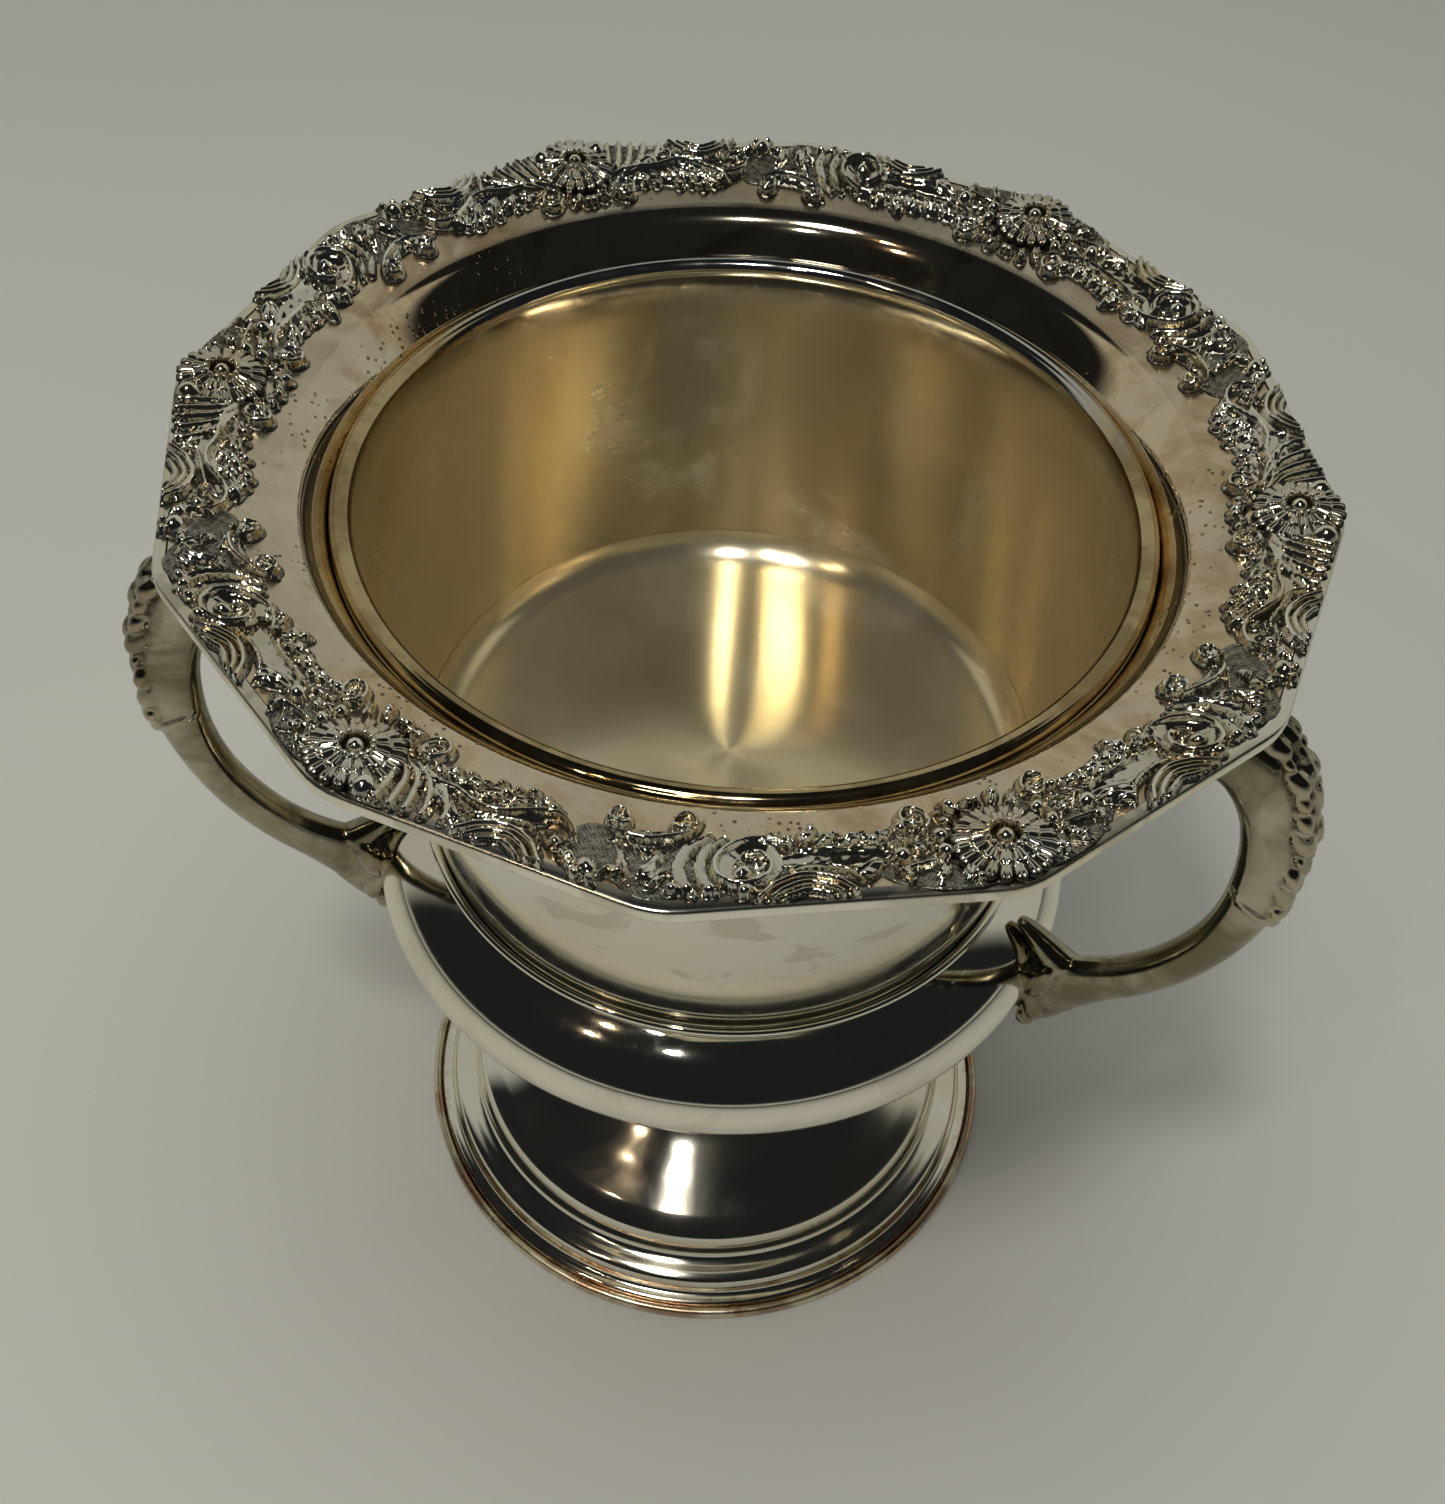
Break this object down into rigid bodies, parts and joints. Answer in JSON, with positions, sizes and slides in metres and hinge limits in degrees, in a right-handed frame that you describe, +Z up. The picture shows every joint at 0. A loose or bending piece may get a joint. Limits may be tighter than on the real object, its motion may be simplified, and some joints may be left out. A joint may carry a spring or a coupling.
{
  "type": "cup trophy",
  "caption": "Two-handled cup trophy with a broad ornamented rim, a flared neck over a fat bulge, scrolled side handles and a stepped, domed foot.",
  "frame": {"origin": "centre of the foot's bottom, on the table", "axes": "+Z up along the cup's axis, +X towards the right handle's side, -Y towards the side that both handles lean to"},
  "size_m": [0.2582, 0.2418, 0.2406],
  "materials": {
    "silver": "polished silver plate with light tarnish",
    "cast_silver": "cast and plated, bright on the high points and blackened in the recesses",
    "gilt": "gold wash, lightly brushed, cloudy",
    "worn_copper": "plate worn through to copper",
    "brass_fitting": "plain turned brass"
  },
  "bodies": {
    "root": {"upper_bowl": "silver", "lower_bowl": "silver", "joint_wire": "silver", "foot_shell": "silver", "stem_collar": "silver", "cup_floor": "gilt", "throat_bead": "gilt", "rim_wire": "cast_silver", "border_casting_1": "cast_silver", "border_casting_2": "cast_silver", "border_casting_3": "cast_silver", "border_casting_4": "cast_silver", "border_casting_5": "cast_silver", "border_casting_6": "cast_silver", "rosette_1": "cast_silver", "rosette_2": "cast_silver", "rosette_3": "cast_silver", "rosette_4": "cast_silver", "rosette_5": "cast_silver", "rosette_6": "cast_silver", "handle_right": "cast_silver", "handle_left": "cast_silver", "foot_edge_wire": "worn_copper", "tie_stud": "brass_fitting", "foot_washer": "brass_fitting", "foot_nut": "brass_fitting"}
  },
  "joints": []
}
